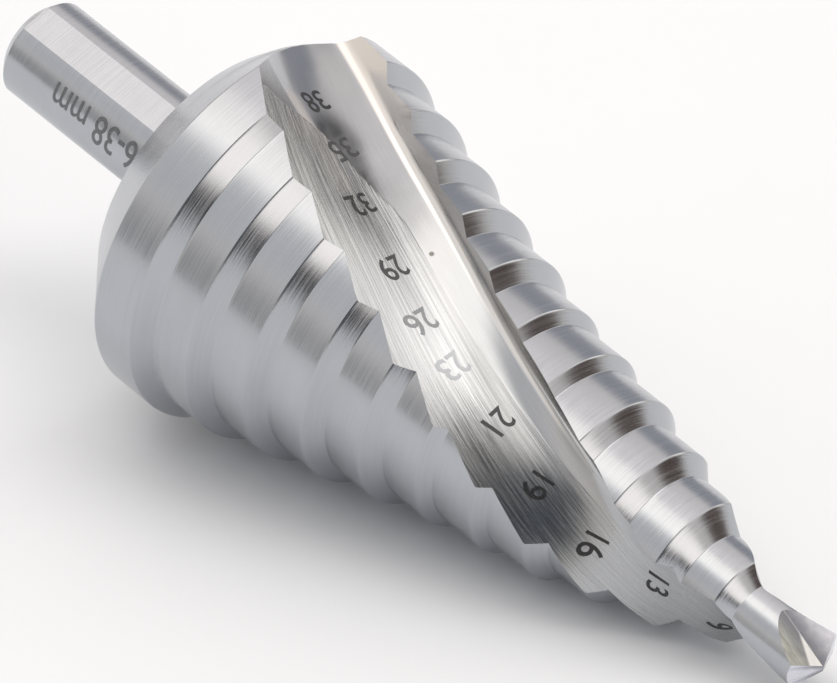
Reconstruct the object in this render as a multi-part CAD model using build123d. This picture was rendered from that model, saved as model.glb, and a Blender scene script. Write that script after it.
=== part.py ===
from build123d import *
import math
import os
import numpy as np

# Step drill for sheet metal: a relieved, stepped body with two flutes, a 6 mm
# split point and a round shank with three flats. All sizes in millimetres and
# degrees. It is drawn with its axis upright, the point at the top, and is laid
# down at the end the way it comes to rest on a flat floor.

# Steps, from the point to the shank. Each step is a cylinder, and a cone
# leads from it to the next one.
total_length = 100.0
step_diameters = (9.0, 13.0, 16.0, 19.0, 21.0, 23.0, 26.0, 29.0, 32.0, 35.0, 38.0)
first_rim = 9.9             # point to the front rim of the smallest step
step_pitch = 5.7            # front rim to front rim
cone_angle = 45.0           # cone between two steps, to the axis
last_cylinder = 4.6         # length of the largest step
back_cone_depth = 5.1       # radius lost on the back cone, at 45 degrees
land_relief = 0.024         # part of the radius that a land loses, edge to heel
relief_lag = 24.0           # how far past the edge the land's own centre lies

# Point
stub_diameter = 6.0
point_angle = 135.0
flank_fall = 0.25           # clearance of the end flanks, as a slope
lip_azimuth = 80.0
web = 0.6                   # thickness left between the two gashes
gash_length = 5.9           # point to the gash's end on the stub
gash_azimuth = 145.0        # valley of the gash, on the stub
gash_back_azimuth = 35.0    # corner between the gash and the end flank
gash_back_height = 1.5
thinning_length = 0.41      # web thinning, as shares of the gash's two lines
thinning_width = 0.32
thinning_depth = 0.6

# Shank
shank_diameter = 10.0
shank_chamfer = 0.9
flat_depth = 0.25
flat_azimuth = -22.0
flat_count = 3

# Flutes, at the front rim of each step: azimuth of the cutting edge, its rake,
# depth and tilt of the coarse heel facet, and how far from the cutting wall
# the polished channel has its bottom and ends, with the slope of its far side.
edge_azimuths = (17.3, 16.4, 1.0, -13.6, -25.0, -35.0, -44.0, -52.0, -59.0, -65.5, -72.0)
rakes = (0.0, 9.0, 12.0, 12.0, 10.0, 8.4, 6.3, 4.7, 3.4, 2.3, 1.4)
facet_depths = (2.02, 2.45, 3.05, 3.53, 3.75, 3.93, 4.27, 4.74, 5.28, 5.84, 6.0)
facet_tilts = (56.0, 38.0, 27.0, 19.0, 15.0, 11.5, 8.8, 6.3, 4.1, 2.4, 2.0)
channel_bottoms = (0.12, 0.35, 0.9, 1.5, 2.07, 2.64, 3.2, 3.8, 4.35, 4.9, 5.5)
channel_ends = (0.25, 0.65, 1.6, 2.6, 3.4, 4.2, 4.9, 5.6, 6.0, 6.4, 8.4)
face_slopes = (-56.0, -38.0, -27.0, -19.0, -15.0, -11.5, -8.8, -6.0, -2.0, 2.0, 5.0)
floor_slope = 30.0          # channel floor, down from the cutting wall

# The flutes run out on the stub: place along it, radius, both as shares of
# the stub's own, azimuth of the edge, tilt of the facet.
stub_stations = (
    (-0.3, 1.2, 80.0, 12.0),
    (0.12, 1.04, 77.0, 15.0),
    (0.36, 1.0, 66.0, 26.0),
    (0.6, 1.0, 56.0, 35.5),
    (0.83, 1.0, 46.0, 42.5),
    (1.0, 1.0, 33.0, 49.0),
)
stub_wall = 0.02            # height of the cutting wall there
flute_count = 2

# Rest: which way is up when the drill is put down, from the cutting edge.
rest_azimuth = 24.0

rims = [first_rim + step_pitch * i for i in range(len(step_diameters))]
radii = [diameter / 2 for diameter in step_diameters]
stub_root = rims[0] - (radii[0] - stub_diameter / 2) / math.tan(math.radians(cone_angle))
back_rim = rims[-1] + last_cylinder
body_back = back_rim + back_cone_depth


def height(t):
    """Height over the shank end of a place t behind the point."""
    return total_length - t


def at(radius, azimuth, z=0.0):
    """Point at a radius and an azimuth."""
    a = math.radians(azimuth)
    return Vector(radius * math.cos(a), radius * math.sin(a), z)


def lobe_radius(radius, azimuth):
    """Radius of a relieved land, azimuth counted from its cutting edge."""
    swing = math.cos(math.radians(relief_lag)) * 2
    offset = radius * land_relief / swing
    lag = math.radians(relief_lag)
    arc = math.sqrt(radius**2 + offset**2 - 2 * radius * offset * math.cos(lag))
    a = math.radians(azimuth - relief_lag)
    return offset * math.cos(a) + math.sqrt(arc**2 - (offset * math.sin(a)) ** 2)


def body_outline(t, radius, edge, reach):
    """Two relieved lands round the axis, joined inside the flutes."""
    edges = []
    for turn in range(flute_count):
        base = edge - 180.0 * turn
        place = []
        for a in (reach, reach - 90.0, reach - 180.0):
            place.append(at(lobe_radius(radius, a), base + a, height(t)))
        edges.append(Edge.make_three_point_arc(*place))
        follow = at(lobe_radius(radius, reach), base + reach - 180.0, height(t))
        edges.append(Edge.make_line(place[2], follow))
    return Wire(edges)


def make_body():
    """Stepped body, all its cylinders and cones in one ruled solid."""
    slope = 1 / math.tan(math.radians(cone_angle))
    reaches = [24.0 + 0.5 * tilt for tilt in facet_tilts]
    stub_reach = lip_azimuth + 2.0 - edge_azimuths[0]
    inner = radii[-1] - back_cone_depth
    rows = [(body_back, inner, edge_azimuths[-1], reaches[-1])]
    rows.append((back_rim, radii[-1], edge_azimuths[-1], reaches[-1]))
    for i in reversed(range(len(rims))):
        rows.append((rims[i], radii[i], edge_azimuths[i], reaches[i]))
        if i:
            root = rims[i] - (radii[i] - radii[i - 1]) * slope
            rows.append((root, radii[i - 1], edge_azimuths[i - 1], reaches[i - 1]))
    for t in (stub_root, -1.0):
        rows.append((t, stub_diameter / 2, edge_azimuths[0], stub_reach))
    return Solid.make_loft([body_outline(*row) for row in rows], True)


def flute_outline(t, radius, edge, rake, depth, tilt, bottom, end, slope):
    """Section of one flute: wall, corner, floor, channel end, heel facet."""
    frame = math.radians(edge)
    tan_floor = math.tan(math.radians(floor_slope))
    tan_face = math.tan(math.radians(slope))
    tilt_r = math.radians(tilt)
    rake_r = math.radians(rake)
    far = radius - depth

    def place(x, y):
        return Vector(
            x * math.cos(frame) - y * math.sin(frame),
            x * math.sin(frame) + y * math.cos(frame),
            height(t),
        )

    end_x = (far - end * math.sin(tilt_r)) / math.cos(tilt_r)
    bottom_x = end_x - tan_face * (end - bottom)
    # The floor meets the cutting wall in the corner.
    fall = tan_floor / (1 - tan_floor * math.tan(rake_r))
    corner_x = bottom_x + fall * (bottom + (radius - bottom_x) * math.tan(rake_r))
    corner_y = -(radius - corner_x) * math.tan(rake_r)
    span = math.hypot(corner_x - bottom_x, corner_y - bottom)
    round_off = 1.2 * span / (1 + 0.6 * span)
    wall = np.array([math.cos(rake_r), math.sin(rake_r)])
    floor = np.array([bottom_x - corner_x, bottom - corner_y]) / span
    half = math.acos(float(wall @ floor)) / 2
    back_off = round_off / math.tan(half)
    corner = np.array([corner_x, corner_y])
    on_wall = corner + wall * back_off
    on_floor = corner + floor * back_off
    on_slope = on_floor + floor * 0.35 * (span - back_off)
    inward = (wall + floor) / np.linalg.norm(wall + floor)
    middle = corner + inward * (round_off / math.sin(half) - round_off)
    outside = radius + 3.0
    run = math.sqrt(outside**2 - far**2)
    heel_x = far * math.cos(tilt_r) - run * math.sin(tilt_r)
    heel_y = far * math.sin(tilt_r) + run * math.cos(tilt_r)
    top = np.array([radius, 0.0]) + wall * 3.2
    spread = math.atan2(heel_y, heel_x) / 2
    crown = outside / math.cos(spread) + 1.0
    points = [top, on_wall, middle, on_floor, on_slope, (bottom_x, bottom), (end_x, end)]
    points += [(heel_x, heel_y), (crown * math.cos(spread), crown * math.sin(spread))]
    p = [place(float(x), float(y)) for x, y in points]
    edges = [Edge.make_line(p[0], p[1])]
    edges.append(Edge.make_three_point_arc(p[1], p[2], p[3]))
    edges.append(Edge.make_line(p[3], p[4]))
    edges.append(Edge.make_bezier(p[4], p[5], p[6]))
    for a, b in ((6, 7), (7, 8), (8, 0)):
        edges.append(Edge.make_line(p[a], p[b]))
    return Wire(edges)


def make_flute():
    """One flute's cutter, from ahead of the point to behind the body."""
    columns = (radii, edge_azimuths, rakes, facet_depths, facet_tilts)
    columns += (channel_bottoms, channel_ends, face_slopes)
    rows = []
    for place, share, edge, tilt in stub_stations:
        radius = share * stub_diameter / 2
        depth = radius * (1 - math.cos(math.radians(tilt))) + stub_wall
        rows.append((place * stub_root, radius, edge, 0.0, depth, tilt, 0.08, 0.16, -tilt))
    for i, t in enumerate(rims):
        rows.append((t,) + tuple(column[i] for column in columns))
    for k in (1.0, 2.4):
        behind = [column[-1] + k * (column[-1] - column[-2]) for column in columns]
        rows.append((rims[-1] + k * step_pitch,) + tuple(behind))
    return Solid.make_loft([flute_outline(*row) for row in rows], False)


def half_space(normal, through):
    """Large block on the side of a plane that its normal points to."""
    plane = Plane(origin=through, z_dir=normal)
    return plane * Pos(0, 0, 20) * Box(40, 40, 40)


def make_point_cutters():
    """End flanks and gashes of the split point."""
    tip = Vector(0, 0, total_length)
    fall = 1 / math.tan(math.radians(point_angle / 2))
    stub = stub_diameter / 2
    cutters = []
    for turn in range(flute_count):
        lip = lip_azimuth + 180.0 * turn
        # The flank's plane falls along the lip and behind it.
        slope = at(fall, lip) + at(flank_fall, lip - 90.0)
        cutters.append(half_space(Vector(slope.X, slope.Y, 1.0), tip))
        valley_azimuth = gash_azimuth + 180.0 * (turn + 1)
        back = at(stub, gash_back_azimuth + 180.0 * turn, -gash_back_height)
        valley = at(stub, valley_azimuth, -gash_length)
        rake_end = at(stub, lip + 180.0, -stub * fall)
        away = tip + at(web / 2, valley_azimuth)
        upper = half_space(valley.cross(rake_end) * -1.0, away)
        lower = half_space(valley.cross(back), away)
        cutters.append(upper & lower)
        # The web is thinned once more where the gash comes to the middle.
        upper_side = valley.cross(rake_end) * -1.0
        down = Vector(0, 0, -1.0)
        down = down - upper_side * (down.dot(upper_side) / upper_side.dot(upper_side))
        start = valley * thinning_length
        side = back * thinning_width
        deep = down.normalized() * thinning_depth
        below = half_space((start - deep).cross(side - deep), away + deep)
        cutters.append(upper & below)
    return cutters


def make_shank():
    """Round shank with three flats and a chamfered end."""
    reach = height(body_back) + 2.0
    rod = extrude(Circle(shank_diameter / 2), reach)
    rod = chamfer(rod.faces().sort_by(Axis.Z)[0].edges(), shank_chamfer)
    for i in range(flat_count):
        turn = Rot(0, 0, flat_azimuth + i * 360.0 / flat_count)
        away = shank_diameter / 2 - flat_depth
        slab = Pos(away + 5.0, 0, height(body_back) / 2) * Box(10, 20, height(body_back))
        rod = rod - turn * slab
    return rod


def about(axis, angle):
    """Matrix of a turn about an axis through the origin."""
    x, y, z = axis
    skew = np.array([[0, -z, y], [z, 0, -x], [-y, x, 0]])
    return np.eye(3) + math.sin(angle) * skew + (1 - math.cos(angle)) * skew @ skew


def beyond(corners, centre):
    """Side of a triangle that the centre lies outside of, or None."""
    for k in range(3):
        a, b, c = (corners[(k + n) % 3][:2] for n in range(3))
        along = b - a
        across = np.array([-along[1], along[0]])
        if (across @ (c - a)) * (across @ (centre[:2] - a)) < 0:
            return k
    return None


def lie_down(points, centre, turn):
    """Orientation in which three points carry the body on a flat floor."""
    feet = []
    while True:
        here = points @ turn.T
        mass = turn @ centre
        if not feet:
            feet = [int(np.argmin(here[:, 2]))]
        foot = here[feet[0]]
        if len(feet) == 1:
            fall = (mass - foot)[:2]
        else:
            line = (here[feet[1]] - foot)[:2]
            fall = np.array([-line[1], line[0]])
            fall = fall * np.sign(fall @ (mass - foot)[:2])
        fall = np.append(fall / np.linalg.norm(fall), 0.0)
        # The body tips over its feet until the next point meets the floor.
        out = (here - foot) @ fall
        rise = here[:, 2] - foot[2]
        angles = np.where(out > 0.05, np.arctan2(rise, out), np.inf)
        angles[feet] = np.inf
        touch = int(np.argmin(angles))
        turn = about(np.cross([0.0, 0.0, 1.0], fall), float(angles[touch])) @ turn
        feet.append(touch)
        if len(feet) == 3:
            corners = [turn @ points[f] for f in feet]
            side = beyond(corners, turn @ centre)
            if side is None:
                return turn
            feet = [feet[side], feet[(side + 1) % 3]]


def rest(solid):
    """The drill on its side, a flute up, its point towards +X."""
    corners = solid.tessellate(0.01, 0.1)[0]
    points = np.array([tuple(corner) for corner in corners])
    middle = np.array(tuple(solid.center(CenterOf.MASS)))
    up = at(1.0, edge_azimuths[-1] + rest_azimuth)
    turn = np.array([[0, 0, 1.0], [up.Y, -up.X, 0], [up.X, up.Y, 0]])
    turn = lie_down(points, middle, turn)
    yaw = -math.atan2(turn[1, 2], turn[0, 2])
    turn = about(np.array([0.0, 0.0, 1.0]), yaw) @ turn
    placed = points @ turn.T
    low = placed.min(axis=0)
    high = placed.max(axis=0)
    origin = (-(low[0] + high[0]) / 2, -(low[1] + high[1]) / 2, -low[2])
    frame = Plane(origin=origin, x_dir=tuple(turn[:, 0]), z_dir=tuple(turn[:, 2]))
    return solid.moved(frame.location)


body = make_body()
flute = make_flute()
cutters = [flute, flute.rotate(Axis.Z, 180.0)] + make_point_cutters()
drill = body + make_shank()
for cutter in cutters:
    drill = drill - cutter
drill = drill.solids().sort_by(SortBy.VOLUME)[-1]

drill = rest(drill)

print("volume", drill.volume, "valid", drill.is_valid, "faces", len(drill.faces()))
os.makedirs("parts", exist_ok=True)
export_step(drill, "parts/step_drill.step")
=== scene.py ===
import math

import bmesh
import bpy
import numpy as np
from bpy.props import (
    FloatProperty, FloatVectorProperty, IntProperty, PointerProperty, StringProperty)
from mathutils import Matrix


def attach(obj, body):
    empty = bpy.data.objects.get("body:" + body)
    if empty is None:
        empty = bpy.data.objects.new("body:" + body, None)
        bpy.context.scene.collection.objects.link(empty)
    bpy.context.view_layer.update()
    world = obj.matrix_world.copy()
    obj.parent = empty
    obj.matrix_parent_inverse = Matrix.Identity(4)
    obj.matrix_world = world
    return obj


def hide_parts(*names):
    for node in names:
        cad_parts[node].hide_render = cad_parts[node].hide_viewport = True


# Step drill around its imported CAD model: the fluted body with its split point,
# the shank, the step numbers, and a pale floor in soft studio light.

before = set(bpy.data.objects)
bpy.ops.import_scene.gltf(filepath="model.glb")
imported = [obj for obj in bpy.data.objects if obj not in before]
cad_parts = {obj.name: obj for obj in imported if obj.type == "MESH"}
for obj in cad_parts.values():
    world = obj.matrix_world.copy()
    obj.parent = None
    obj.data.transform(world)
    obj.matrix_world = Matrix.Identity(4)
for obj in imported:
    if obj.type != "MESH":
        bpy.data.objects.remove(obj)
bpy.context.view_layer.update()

bl_info = {
    "name": "Step drill",
    "version": (1, 0, 0),
    "blender": (4, 5, 0),
    "location": "3D View > Sidebar > Step drill",
    "description": "Fluted step drill with ground steel finishes, in soft studio light",
    "category": "Object",
}

MM = 0.001
STEPS = 11

# Rows at each worn rim and at the hollow at each cone's foot, as shares of
# their width.
RIM_ROWS = (-2.5, -1.0, 1.0, 2.5)
HOLLOW_ROWS = (-1.0, -0.5, 0.0, 0.5, 1.0)

# How finely the body is divided: rows along it and the least gap between them
# in mm, cells over the wall, corner, floor, channel and facet of the flute's
# section, and cells over a land.
BODY_ROWS = 200
ROW_GAP = 0.12
FLUTE_CELLS = (8, 8, 4, 14, 14)
LAND_CELLS = 76

# How far the flute's section runs past the lands at its wall and at its heel,
# how far the body starts ahead of the point, and how far the blocks that cut
# the point reach, in mm.
WALL_REACH = 3.2
HEEL_REACH = 3.0
AHEAD = -1.0
CUTTER_REACH = 40.0

# Rounding of the shank's end, where its plain part starts over the end, and
# how deep it sits in the body, in mm.
END_ROUNDING = 0.06
SHANK_PLAIN = 3.0
SHANK_SUNK = 1.5

# Corners closer than this fall together, in metres.
MERGE = 1e-7


# Sizes and colours

class DrillSizes(bpy.types.PropertyGroup):
    """Sizes of the drill, the same as in the CAD source."""

    total_length: FloatProperty(
        name="Total length", description="Shank end to point",
        default=0.100, unit="LENGTH")
    step_diameters: FloatVectorProperty(
        name="Step diameters", description="Diameter of each step, from the point",
        size=STEPS, unit="LENGTH",
        default=(0.009, 0.013, 0.016, 0.019, 0.021, 0.023, 0.026, 0.029, 0.032, 0.035, 0.038))
    first_rim: FloatProperty(
        name="First rim", description="Point to the front rim of the smallest step",
        default=0.0099, unit="LENGTH")
    step_pitch: FloatProperty(
        name="Step pitch", description="Front rim to front rim",
        default=0.0057, unit="LENGTH")
    last_cylinder: FloatProperty(
        name="Last cylinder", description="Length of the largest step",
        default=0.0046, unit="LENGTH")
    back_cone_depth: FloatProperty(
        name="Back cone depth", description="Radius lost on the back cone",
        default=0.0051, unit="LENGTH")
    land_relief: FloatProperty(
        name="Land relief", description="Share of the radius lost from edge to heel",
        default=0.024)
    relief_lag: FloatProperty(
        name="Relief lag", description="How far past the edge the land's centre lies, in degrees",
        default=24.0)
    rim_rounding: FloatProperty(
        name="Rim rounding", description="Width of the worn corner of each rim",
        default=0.00006, unit="LENGTH")
    root_rounding: FloatProperty(
        name="Root rounding", description="Reach of the soft hollow at the foot of each cone",
        default=0.00003, unit="LENGTH")
    stub_diameter: FloatProperty(
        name="Stub diameter", description="Diameter of the plain part behind the point",
        default=0.006, unit="LENGTH")
    point_angle: FloatProperty(
        name="Point angle", description="Angle between the two lips, in degrees",
        default=135.0)
    flank_fall: FloatProperty(
        name="Flank fall", description="Clearance of the end flanks, as a slope",
        default=0.25)
    lip_azimuth: FloatProperty(
        name="Lip azimuth", description="Azimuth of the first lip, in degrees",
        default=80.0)
    web: FloatProperty(
        name="Web", description="Thickness left between the gashes",
        default=0.0006, unit="LENGTH")
    gash_length: FloatProperty(
        name="Gash length", description="Point to the gash's end on the stub",
        default=0.0059, unit="LENGTH")
    gash_azimuth: FloatProperty(
        name="Gash azimuth", description="Valley of the gash on the stub, in degrees",
        default=145.0)
    gash_back_azimuth: FloatProperty(
        name="Gash back azimuth", description="Corner of the gash and the flank, in degrees",
        default=35.0)
    gash_back_height: FloatProperty(
        name="Gash back height", description="Drop of that corner under the point",
        default=0.0015, unit="LENGTH")
    thinning: FloatVectorProperty(
        name="Web thinning", description="Length and width as shares of the gash, depth in mm",
        size=3, default=(0.41, 0.32, 0.6))
    shank_diameter: FloatProperty(
        name="Shank diameter", description="Diameter of the round shank",
        default=0.010, unit="LENGTH")
    shank_chamfer: FloatProperty(
        name="Shank chamfer", description="Chamfer of the shank's end",
        default=0.0009, unit="LENGTH")
    flat_depth: FloatProperty(
        name="Flat depth", description="Depth of each flat on the shank",
        default=0.00025, unit="LENGTH")
    flat_azimuth: FloatProperty(
        name="Flat azimuth", description="Azimuth of the first flat, in degrees",
        default=-22.0)
    flat_count: IntProperty(
        name="Flats", description="Number of flats on the shank", default=3)


class FluteSizes(bpy.types.PropertyGroup):
    """Section of the flutes at the front rim of each step."""

    edge_azimuths: FloatVectorProperty(
        name="Edge azimuths", description="Azimuth of the cutting edge, in degrees",
        size=STEPS,
        default=(17.3, 16.4, 1.0, -13.6, -25.0, -35.0, -44.0, -52.0, -59.0, -65.5, -72.0))
    rakes: FloatVectorProperty(
        name="Rakes", description="Rake of the cutting wall, in degrees",
        size=STEPS,
        default=(0.0, 9.0, 12.0, 12.0, 10.0, 8.4, 6.3, 4.7, 3.4, 2.3, 1.4))
    facet_depths: FloatVectorProperty(
        name="Facet depths", description="Depth of the coarse heel facet, in mm",
        size=STEPS,
        default=(2.02, 2.45, 3.05, 3.53, 3.75, 3.93, 4.27, 4.74, 5.28, 5.84, 6.0))
    facet_tilts: FloatVectorProperty(
        name="Facet tilts", description="Tilt of the coarse heel facet, in degrees",
        size=STEPS,
        default=(56.0, 38.0, 27.0, 19.0, 15.0, 11.5, 8.8, 6.3, 4.1, 2.4, 2.0))
    channel_bottoms: FloatVectorProperty(
        name="Channel bottoms", description="Cutting edge to the channel's bottom, in mm",
        size=STEPS,
        default=(0.12, 0.35, 0.9, 1.5, 2.07, 2.64, 3.2, 3.8, 4.35, 4.9, 5.5))
    channel_ends: FloatVectorProperty(
        name="Channel ends", description="Cutting edge to the channel's end, in mm",
        size=STEPS,
        default=(0.25, 0.65, 1.6, 2.6, 3.4, 4.2, 4.9, 5.6, 6.0, 6.4, 8.4))
    face_slopes: FloatVectorProperty(
        name="Face slopes", description="Slope of the channel's far side, in degrees",
        size=STEPS,
        default=(-56.0, -38.0, -27.0, -19.0, -15.0, -11.5, -8.8, -6.0, -2.0, 2.0, 5.0))
    floor_slope: FloatProperty(
        name="Floor slope", description="Channel floor, down from the wall, in degrees",
        default=30.0)
    stub_places: FloatVectorProperty(
        name="Stub places", description="Stations on the stub, as shares of its length",
        size=6, default=(-0.3, 0.12, 0.36, 0.6, 0.83, 1.0))
    stub_shares: FloatVectorProperty(
        name="Stub shares", description="Radius at those stations, as shares of the stub's",
        size=6, default=(1.2, 1.04, 1.0, 1.0, 1.0, 1.0))
    stub_edges: FloatVectorProperty(
        name="Stub edges", description="Azimuth of the edge at those stations, in degrees",
        size=6, default=(80.0, 77.0, 66.0, 56.0, 46.0, 33.0))
    stub_tilts: FloatVectorProperty(
        name="Stub tilts", description="Tilt of the facet at those stations, in degrees",
        size=6, default=(12.0, 15.0, 26.0, 35.5, 42.5, 49.0))


class RestPose(bpy.types.PropertyGroup):
    """How the drill lies on the floor."""

    shank_end: FloatVectorProperty(
        name="Shank end", description="Middle of the shank's end",
        size=3, unit="LENGTH", default=(-0.048556, 0.0, 0.0241894))
    dip: FloatProperty(
        name="Dip", description="How far the point hangs under level, in degrees",
        default=11.7992)
    roll: FloatProperty(
        name="Roll", description="Turn about the drill's axis, in degrees",
        default=40.8211)


class DrillFinish(bpy.types.PropertyGroup):
    """Colours and roughness of the finishes."""

    steel: FloatVectorProperty(
        name="Steel", description="Ground steel of the lands and the shank",
        subtype="COLOR", size=3, default=(0.435, 0.450, 0.480))
    channel: FloatVectorProperty(
        name="Channel", description="Polished channel of the flutes",
        subtype="COLOR", size=3, default=(0.440, 0.450, 0.470))
    facet: FloatVectorProperty(
        name="Facet", description="Coarsely ground heel facet",
        subtype="COLOR", size=3, default=(0.445, 0.452, 0.465))
    # The wall's pale tone is partly its own tan colour and partly painted light: it is set lighter
    # than the steel so that the wall shows brighter than its reflections make it.
    wall: FloatVectorProperty(
        name="Wall", description="Cutting wall of the flutes",
        subtype="COLOR", size=3, default=(0.76, 0.735, 0.71))
    mark: FloatVectorProperty(
        name="Marks", description="Laser-marked numbers",
        subtype="COLOR", size=3, default=(0.020, 0.020, 0.022))
    land_roughness: FloatProperty(
        name="Land roughness", description="Roughness of the lands", default=0.20)
    channel_roughness: FloatProperty(
        name="Channel roughness", description="Roughness of the channel", default=0.16)
    facet_roughness: FloatProperty(
        name="Facet roughness", description="Roughness of the facet", default=0.24)
    number_height: FloatProperty(
        name="Number height", description="Height of the step numbers",
        default=0.0022, unit="LENGTH")
    shank_height: FloatProperty(
        name="Shank marking height", description="Height of the marking on the shank",
        default=0.0029, unit="LENGTH")
    shank_words: StringProperty(
        name="Shank marking", description="Plain size range on the shank",
        default="6-38 mm")


class StudioSettings(bpy.types.PropertyGroup):
    """Floor, light and camera."""

    floor: FloatVectorProperty(
        name="Floor", description="Colour of the floor",
        subtype="COLOR", size=3, default=(0.87, 0.895, 0.935))
    light_tint: FloatVectorProperty(
        name="Light tint", description="Tint of all the studio light",
        subtype="COLOR", size=3, default=(1.035, 1.0, 0.945))
    focal_length: FloatProperty(
        name="Focal length", description="Focal length in millimetres, on a 36 mm sensor",
        default=320.258)
    camera_place: FloatVectorProperty(
        name="Camera place", description="Where the camera stands",
        size=3, unit="LENGTH", default=(0.389467, -0.380480, 0.383234))
    camera_turn: FloatVectorProperty(
        name="Camera turn", description="Turn of the camera, in degrees",
        size=3, default=(55.8653, 0.7635, 45.1027))


# Shape of the drill: places along it are t, in mm behind the point, and
# azimuths are in degrees about the axis, counted towards the cutting edges.

def smooth_stations(knots, values, x):
    """Natural cubic spline: second differences are solved for at the stations,
    and each interval is the cubic that has them at its ends."""
    knots, values = np.asarray(knots, float), np.asarray(values, float)
    gap = np.diff(knots)
    count = len(knots)
    matrix, right = np.eye(count), np.zeros(count)
    inner = np.arange(1, count - 1)
    matrix[inner, inner - 1] = gap[:-1]
    matrix[inner, inner] = 2 * (gap[:-1] + gap[1:])
    matrix[inner, inner + 1] = gap[1:]
    right[1:-1] = 6 * np.diff(np.diff(values) / gap)
    bend = np.linalg.solve(matrix, right)
    i = np.clip(np.searchsorted(knots, x) - 1, 0, count - 2)
    after, before, width = knots[i + 1] - x, x - knots[i], gap[i]
    cubic = (bend[i] * after**3 + bend[i + 1] * before**3) / (6 * width)
    left = (values[i] / width - bend[i] * width / 6) * after
    return cubic + left + (values[i + 1] / width - bend[i + 1] * width / 6) * before


class DrillShape:
    """The drill's surfaces as functions of numpy arrays, in mm."""

    def __init__(self, scene):
        self.s, self.f, pose = scene.drill_sizes, scene.drill_flutes, scene.drill_pose
        dip, roll = math.radians(pose.dip), math.radians(pose.roll)
        along = np.array([math.cos(dip), 0.0, -math.sin(dip)])
        up = np.array([math.sin(dip), 0.0, math.cos(dip)])
        first = math.cos(roll) * up - math.sin(roll) * np.array([0.0, 1.0, 0.0])
        self.axes = np.array([first, np.cross(along, first), along])
        self.foot = np.array(pose.shank_end) / MM
        s = self.s
        self.length = s.total_length / MM
        self.radii = np.array(s.step_diameters) / MM / 2
        self.rims = (s.first_rim + s.step_pitch * np.arange(STEPS)) / MM
        self.stub = s.stub_diameter / MM / 2
        self.stub_root = self.rims[0] - (self.radii[0] - self.stub)
        self.roots = self.rims - np.diff(self.radii, prepend=self.stub)
        self.back_rim = self.rims[-1] + s.last_cylinder / MM
        self.body_back = self.back_rim + s.back_cone_depth / MM
        self.inner = self.radii[-1] - s.back_cone_depth / MM
        self.stations = self.flute_stations()

    def world(self, points):
        """Drill frame in mm to the part's frame in metres."""
        return (self.foot + points @ self.axes) * MM

    def drill(self, points):
        """Part's frame in metres to the drill frame in mm."""
        return (points / MM - self.foot) @ self.axes.T

    def flute_stations(self):
        """Columns of the flute's section: place, radius, edge, rake, depth,
        tilt, bottom, end, slope, from ahead of the point to behind the body."""
        f = self.f
        tilt = np.array(f.stub_tilts)
        radius = np.array(f.stub_shares) * self.stub
        depth = radius * (1 - np.cos(np.radians(tilt))) + 0.02
        n = len(tilt)
        stub = [np.array(f.stub_places) * self.stub_root, radius, np.array(f.stub_edges)]
        stub += [np.zeros(n), depth, tilt, np.full(n, 0.08), np.full(n, 0.16), -tilt]
        rims = [self.rims, self.radii, f.edge_azimuths, f.rakes, f.facet_depths]
        rims += [f.facet_tilts, f.channel_bottoms, f.channel_ends, f.face_slopes]
        columns = []
        for a, b in zip(stub, rims):
            b = np.array(b)
            behind = b[-1] + np.array([1.0, 2.4]) * (b[-1] - b[-2])
            columns.append(np.concatenate([a, b, behind]))
        return columns

    def flute_values(self, t):
        """The section's values at any place."""
        knots = self.stations[0]
        return [smooth_stations(knots, column, t) for column in self.stations[1:]]

    def land_frame(self, t):
        """Radius of the lands, and the azimuth that their relief counts from:
        level on a cylinder, straight lines on a cone, with worn rims and a
        parabola at each root."""
        worn, hollow = self.s.rim_rounding / MM, self.s.root_rounding / MM
        edge = np.array(self.f.edge_azimuths)
        places, sizes, turns = [-5.0, self.stub_root], [self.stub] * 2, [edge[0]] * 2
        for i in range(STEPS):
            if i:
                for k in HOLLOW_ROWS:
                    share = max(k, 0.0) * hollow / (self.rims[i] - self.roots[i])
                    places.append(self.roots[i] + k * hollow)
                    sizes.append(self.radii[i - 1] + hollow * (k + 1) ** 2 / 4)
                    turns.append(edge[i - 1] + (edge[i] - edge[i - 1]) * share)
            places += [self.rims[i] - worn, self.rims[i] + worn]
            sizes += [self.radii[i] - worn, self.radii[i]]
            turns += [edge[i], edge[i]]
        places += [self.back_rim - worn, self.back_rim + worn, self.body_back]
        sizes += [self.radii[-1], self.radii[-1] - worn, self.inner]
        turns += [edge[-1]] * 3
        return np.interp(t, places, sizes), np.interp(t, places, turns)

    def lobe(self, radius, azimuth):
        """Radius of a relieved land: a circle set off its axis, which passes
        through the cutting edge and loses the relief towards the heel."""
        lag = math.radians(self.s.relief_lag)
        offset = radius * self.s.land_relief / (2 * math.cos(lag))
        arc2 = radius**2 + offset**2 - 2 * radius * offset * math.cos(lag)
        a = np.radians(azimuth) - lag
        return offset * np.cos(a) + np.sqrt(arc2 - (offset * np.sin(a)) ** 2)

    def flute_profile(self, t, s):
        """Flute's section in its own axes, edge along x. For s from 0 to 5 it
        follows the wall, the corner's arc, the floor's line, the channel's
        parabola and the facet's line. t is (n), s is (n, m)."""
        radius, edge, rake, depth, tilt, bottom, end, slope = self.flute_values(t)
        tan_floor = math.tan(math.radians(self.f.floor_slope))
        tan_face = np.tan(np.radians(slope))
        tilt, rake = np.radians(tilt), np.radians(rake)
        far = radius - depth
        end_x = (far - end * np.sin(tilt)) / np.cos(tilt)
        bottom_x = end_x - tan_face * (end - bottom)
        fall = tan_floor / (1 - tan_floor * np.tan(rake))
        corner_x = bottom_x + fall * (bottom + (radius - bottom_x) * np.tan(rake))
        corner_y = -(radius - corner_x) * np.tan(rake)
        span = np.hypot(corner_x - bottom_x, corner_y - bottom)
        # The corner's radius grows with the channel and levels off at 2 mm.
        round_off = 1.2 * span / (1 + 0.6 * span)

        def pair(x, y):
            return np.stack([x, y], -1)

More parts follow.
